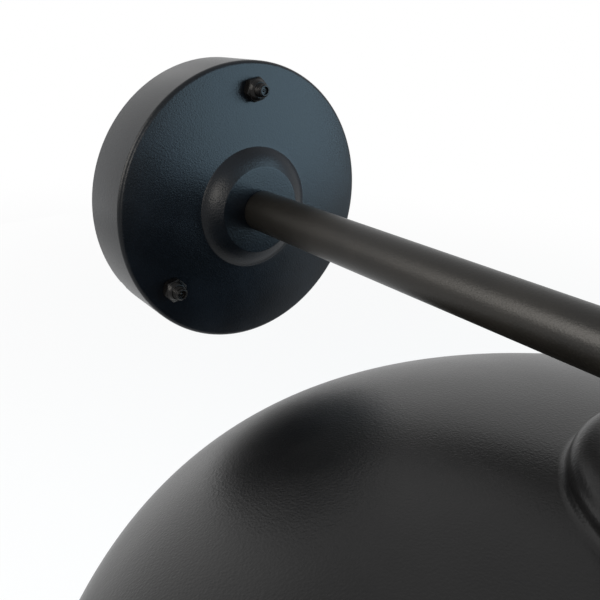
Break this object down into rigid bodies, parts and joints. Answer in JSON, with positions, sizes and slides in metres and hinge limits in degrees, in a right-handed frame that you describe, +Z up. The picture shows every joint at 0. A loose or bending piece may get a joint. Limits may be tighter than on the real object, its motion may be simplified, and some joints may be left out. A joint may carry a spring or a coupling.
{
  "type": "wall light",
  "caption": "Wall sconce with a round canopy, a straight horizontal tube arm and a shallow dome metal shade hung under a lamp cup with a screw lampholder.",
  "frame": {"origin": "centre of the canopy's back, on the wall plane", "axes": "+Z up, the wall is the plane y = 0 and the light stands out along -Y"},
  "size_m": [0.3, 0.3625, 0.1596],
  "materials": {
    "shade_paint": "matt black powder coat",
    "canopy_paint": "matt black powder coat",
    "arm_paint": "matt black powder coat",
    "black_nut": "satin black",
    "plated_steel": "zinc plated",
    "brass": "machined",
    "aluminium": "pressed",
    "block_plastic": "moulded",
    "holder_plastic": "moulded",
    "ceramic": "unglazed",
    "rubber": "matt",
    "live_sheath": "wire sheath",
    "neutral_sheath": "wire sheath",
    "earth_sheath": "wire sheath"
  },
  "bodies": {
    "fixture": {"canopy": "canopy_paint", "wall_plate": "plated_steel", "plate_studs": "black_nut", "stud_back_nuts": "plated_steel", "canopy_nuts": "black_nut", "terminal_block": "block_plastic", "terminal_tubes": "brass", "terminal_screws": "plated_steel", "block_screw": "plated_steel", "earth_lug": "plated_steel", "earth_screw": "brass", "arm_tube": "arm_paint", "arm_plug": "brass", "arm_nipple": "plated_steel", "nipple_washer": "plated_steel", "nipple_nut": "plated_steel", "arm_grommet": "rubber", "live_wire": "live_sheath", "neutral_wire": "neutral_sheath", "earth_wire": "earth_sheath", "lamp_cup": "arm_paint", "arm_socket": "arm_paint", "arm_grub_screw": "black_nut", "cup_lid": "arm_paint", "holder_body": "holder_plastic", "holder_insert": "ceramic", "screw_shell": "aluminium", "shell_pin": "brass", "holder_terminals": "brass", "holder_terminal_screws": "plated_steel"},
    "shade": {"shade": "shade_paint"},
    "shade_ring": {"shade_ring": "holder_plastic"},
    "centre_contact": {"centre_contact": "brass"}
  },
  "joints": [
    {"name": "shade_drop", "type": "slide", "parent": "fixture", "child": "shade", "axis": [0, 0, -1], "range_m": [0, 0.024]},
    {"name": "shade_ring_turn", "type": "hinge", "parent": "shade", "child": "shade_ring", "pos_m": [0, -0.2125, -0.019], "axis": [0, 0, -1], "range_deg": [0, 3460]},
    {"name": "contact_press", "type": "slide", "parent": "fixture", "child": "centre_contact", "axis": [0, 0, 1], "range_m": [0, 0.0015], "stiffness_N_per_m": 1500}
  ],
  "couplings": [
    {"joint": "shade_ring_turn", "follows": "shade_drop", "rad_per_m": 2513.3}
  ]
}
